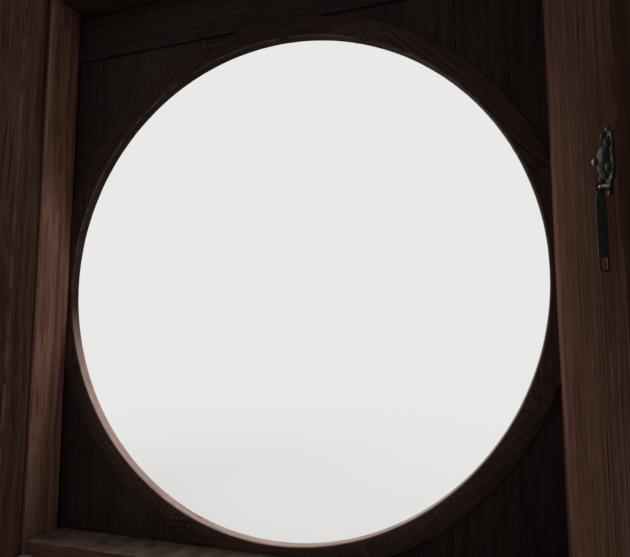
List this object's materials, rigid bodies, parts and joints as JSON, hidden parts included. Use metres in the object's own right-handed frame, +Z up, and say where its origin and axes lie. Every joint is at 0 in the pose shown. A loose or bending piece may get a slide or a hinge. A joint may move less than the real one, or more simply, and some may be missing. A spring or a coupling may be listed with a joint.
{
  "type": "moon gate",
  "caption": "Timber moon gate: a board screen with a round opening behind a post-and-beam door frame with pivot-hung plank leaves, one with an iron hasp.",
  "frame": {"origin": "on the ground, under the centre of the round opening, in the middle plane of the board screen", "axes": "+X to the right as seen from the room, +Y through the opening into the courtyard, +Z up"},
  "size_m": [3.5842, 1.4305, 3],
  "materials": {
    "frame_wood": "weathered brown timber",
    "leaf_wood": "weathered grey-brown planks",
    "screen_wood": "soot-darkened boards",
    "rim_wood": "dark timber, worn grey on the reveal",
    "peg_wood": "end grain",
    "iron": "dark forged iron",
    "stone": "dressed grey stone"
  },
  "bodies": {
    "frame": {"left_pivot_stone": "stone", "right_pivot_stone": "stone", "left_post": "frame_wood", "right_post": "frame_wood", "threshold": "frame_wood", "head_beam": "frame_wood", "pivot_beam": "frame_wood", "pivot_beam_pegs": "peg_wood", "foot_rail": "screen_wood", "left_screen_stile": "screen_wood", "right_screen_stile": "screen_wood", "middle_rail": "screen_wood", "top_rail": "screen_wood", "transom_board": "screen_wood", "rim_right": "rim_wood", "rim_upper_right": "rim_wood", "rim_top": "rim_wood", "rim_upper_left": "rim_wood", "rim_left": "rim_wood", "rim_lower_left": "rim_wood", "rim_bottom": "rim_wood", "rim_lower_right": "rim_wood", "rim_pegs": "peg_wood", "upper_left_boards": "screen_wood", "upper_right_boards": "screen_wood", "lower_left_boards": "screen_wood", "lower_right_boards": "screen_wood"},
    "left_leaf": {"left_pivot_stile": "leaf_wood", "left_planks": "leaf_wood", "left_meeting_stile": "leaf_wood", "left_battens": "leaf_wood", "left_boss": "iron", "left_staple": "iron"},
    "right_leaf": {"right_pivot_stile": "leaf_wood", "right_planks": "leaf_wood", "right_meeting_stile": "leaf_wood", "right_battens": "leaf_wood", "right_boss": "iron", "right_staple": "iron"},
    "hasp": {"hasp": "iron"}
  },
  "joints": [
    {"name": "left_leaf_pivot", "type": "hinge", "parent": "frame", "child": "left_leaf", "pos_m": [-1.145, -0.261, 0.09], "axis": [0, 0, -1], "range_deg": [-165, 10]},
    {"name": "right_leaf_pivot", "type": "hinge", "parent": "frame", "child": "right_leaf", "pos_m": [1.145, -0.261, 0.09], "axis": [0, 0, 1], "range_deg": [-89.6, 85.4]},
    {"name": "hasp_swing", "type": "hinge", "parent": "right_leaf", "child": "hasp", "pos_m": [1.09245, -1.34216, 1.259], "axis": [0.007, 1, 0], "range_deg": [0, 100]}
  ]
}
